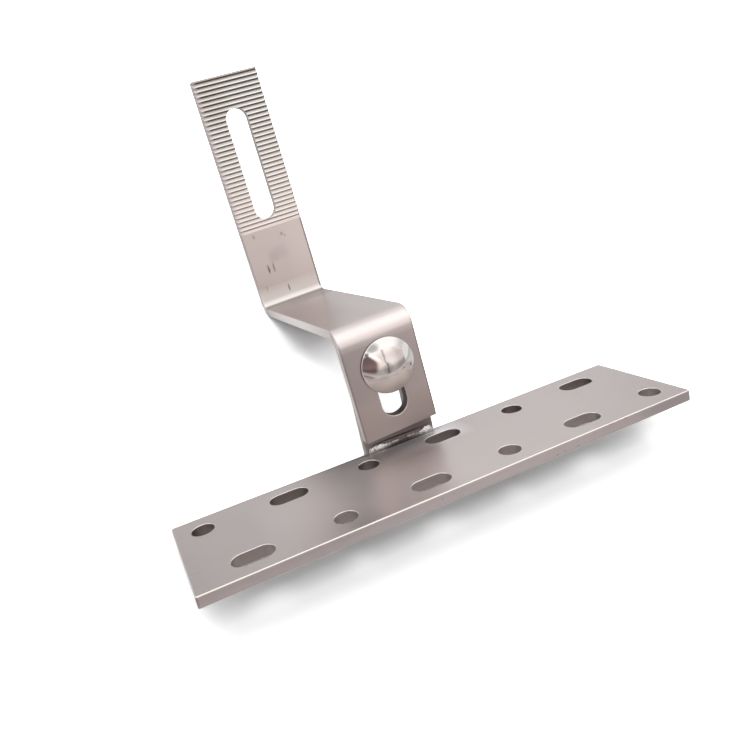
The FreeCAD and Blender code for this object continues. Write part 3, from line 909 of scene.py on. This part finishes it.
# %% [markdown]
# ## The thread
# The bolt's end sticks out of the nut at the back, so its thread is real. One tooth of the
# M8 profile is a plane whose outer edge is narrowed. A Screw modifier winds it round the axis
# with a rise of one pitch a turn. The open ends are cut flat and closed, and a chamfered
# cylinder trims the solid to the bolt's length.

# %% One tooth, wound into a thread
pitch = 1.25 * MM
major_radius = 3.98 * MM
minor_radius = major_radius - 0.61 * pitch
thread_start = 30.0 * MM
thread_length = 15.5 * MM
bpy.ops.object.select_all(action="DESELECT")
bpy.ops.mesh.primitive_plane_add(
    size=1.0, location=((major_radius + minor_radius) / 2, 0, -1.5 * pitch),
    rotation=(math.radians(90), 0, 0),
)
bpy.context.active_object.scale = (major_radius - minor_radius, pitch, 1)
thread_piece = start_piece("bolt_thread")
outer_mm = major_radius / MM
inner_mm = minor_radius / MM
select_parts(thread_piece, "VERT", lambda co: abs(co.x - outer_mm) < 0.01)
bpy.ops.transform.resize(value=(1, 1, 0.14))
select_parts(thread_piece, "FACE", lambda co: True)
bpy.ops.mesh.delete(type="ONLY_FACE")
select_parts(thread_piece, "EDGE", lambda co: abs(co.x - inner_mm) < 0.01)
bpy.ops.mesh.delete(type="EDGE")
bpy.ops.object.mode_set(mode="OBJECT")
winding = thread_piece.modifiers.new("winding", "SCREW")
winding.axis = "Z"
winding.angle = math.tau
winding.screw_offset = pitch
winding.iterations = 16
winding.steps = 48
winding.render_steps = 48
winding.use_smooth_shade = False
bpy.ops.object.modifier_apply(modifier=winding.name)
bpy.ops.object.mode_set(mode="EDIT")
bpy.ops.mesh.select_all(action="SELECT")
bpy.ops.mesh.remove_doubles(threshold=0.01 * MM)
bpy.ops.mesh.bisect(plane_co=(0, 0, 0), plane_no=(0, 0, -1), clear_outer=True, use_fill=True)
bpy.ops.mesh.select_all(action="SELECT")
bpy.ops.mesh.bisect(
    plane_co=(0, 0, thread_length + 0.8 * MM), plane_no=(0, 0, 1), clear_outer=True, use_fill=True
)
bpy.ops.mesh.select_all(action="SELECT")
bpy.ops.mesh.normals_make_consistent(inside=False)
bpy.ops.object.mode_set(mode="OBJECT")
print("thread faces:", len(thread_piece.data.polygons))

# %% Trim the thread with a chamfered blank, and stand it on the bolt's axis
bpy.ops.object.select_all(action="DESELECT")
bpy.ops.mesh.primitive_cylinder_add(
    vertices=96, radius=major_radius + 0.1 * MM, depth=thread_length + 2 * MM,
    location=(0, 0, thread_length / 2 - MM),
)
blank = start_piece("thread_blank")
end_mm = thread_length / MM
select_parts(blank, "EDGE", lambda co: abs(co.z - end_mm) < 0.01)
bpy.ops.mesh.bevel(offset=1.0 * MM, segments=1)
bpy.ops.object.mode_set(mode="OBJECT")
select_only(thread_piece)
trim = thread_piece.modifiers.new("trim", "BOOLEAN")
trim.operation = "INTERSECT"
trim.object = blank
bpy.ops.object.modifier_apply(modifier=trim.name)
bpy.data.objects.remove(blank)
thread_piece.rotation_euler = (math.radians(-90), 0, 0)
thread_piece.location = bolt_axis + Vector((0, thread_start, 0))
bpy.ops.object.transform_apply(location=True, rotation=True, scale=True)
bpy.ops.object.shade_smooth_by_angle(angle=math.radians(30))
thread_ys = [v.co.y / MM for v in thread_piece.data.vertices]
print("thread from", round(min(thread_ys), 2), "to", round(max(thread_ys), 2), "mm")

# %% The plain shank, and the whole bolt
bpy.ops.object.select_all(action="DESELECT")
bpy.ops.mesh.primitive_cylinder_add(
    vertices=64, radius=3.55 * MM, depth=7.5 * MM,
    location=bolt_axis + Vector((0, 27.0 * MM, 0)), rotation=(math.radians(90), 0, 0),
)
shank_piece = start_piece("bolt_shank")
bpy.ops.object.shade_smooth_by_angle(angle=math.radians(40))
bolt_piece.data.materials.append(polished)
rim_top = rim_y + 0.3
# The head's rim, near black: painted shade where the head sits on the leg.
second_metal(bolt_piece, head_rim_shade_metal, lambda centre, normal: centre.y > rim_top)
for part in (neck_piece, thread_piece, shank_piece):
    part.data.materials.clear()
    part.data.materials.append(small_metal)
bpy.ops.object.select_all(action="DESELECT")
for part in (bolt_piece, neck_piece, thread_piece, shank_piece):
    part.select_set(True)
bpy.context.view_layer.objects.active = bolt_piece
bpy.ops.object.join()
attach(bolt_piece, "base")
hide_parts("carriage_bolt")
print("bolt metals:", [m.name for m in bolt_piece.data.materials])

# %% [markdown]
# ## The weld
# The tab is welded to the plate's back edge by hand. Such a bead is a row of small frozen
# ripples, fat where the welder started and stopped and thin between. Here a ring is extruded
# along the corner line and resized at each step. Three quarters of each ring are buried in the
# two parts, as a real weld bites into them. A little random shift and a subdivision make it
# lumpy and smooth.

# %% The weld bead
weld_line = Vector((0, 24.5 * MM, 4.0 * MM))
weld_from, weld_to = -16.3, 10.8
ripple = 0.5


def bead_radius(x):
    """Radius of the bead in mm at a place along it."""
    start_blob = math.exp(-((x + 12.2) / 3.8) ** 2)
    end_blob = math.exp(-((x - 8.6) / 2.2) ** 2)
    lumps = 0.15 * math.sin(2.7 * x) + 0.12 * math.sin(4.9 * x + 1.0)
    lumps += 0.30 * math.sin(1.05 * x + 0.4) * max(0.0, 1.0 - start_blob - end_blob)
    size = 1.10 + 1.10 * start_blob + 1.30 * end_blob + lumps
    return size * (1.0 + 0.05 * math.cos(math.tau * x / (2 * ripple)))


bpy.ops.object.select_all(action="DESELECT")
bpy.ops.mesh.primitive_circle_add(
    vertices=20, radius=0.5 * MM, location=weld_line + Vector((weld_from * MM, 0, 0)),
    rotation=(0, math.radians(90), 0), fill_type="NGON",
)
bead_piece = start_piece("bead_body")
select_parts(bead_piece, "FACE", lambda co: True)
last_radius = 0.5
place = weld_from
while place < weld_to - 0.01:
    place = min(place + ripple, weld_to)
    from_end = min(place - weld_from, weld_to - place)
    radius = bead_radius(place) * min(1.0, 0.42 + 0.9 * math.sqrt(max(from_end, 0.0) / 1.6))
    bpy.ops.mesh.extrude_region_move(
        TRANSFORM_OT_translate={"value": (ripple * MM, 0, 0)}
    )
    grow = radius / last_radius
    bpy.ops.transform.resize(
        value=(1, grow, grow), center_override=weld_line + Vector((place * MM, 0, 0))
    )
    last_radius = radius
bpy.ops.mesh.select_all(action="SELECT")
bpy.ops.mesh.normals_make_consistent(inside=False)
bpy.ops.transform.resize(value=(1, 0.6, 1), center_override=weld_line)
bpy.ops.transform.vertex_random(offset=0.17 * MM, seed=4)
bpy.ops.mesh.subdivide(number_cuts=1, smoothness=1.0)
bpy.ops.object.mode_set(mode="OBJECT")
bpy.ops.object.shade_smooth()
bead_piece.data.materials.append(bead_metal)
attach(bead_piece, "base")
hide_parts("weld_bead")
print("bead faces:", len(bead_piece.data.polygons))

# %% Sizes, and the end
print("packed size in mm:", [round(v / MM, 2) for v in cad_high - cad_low])
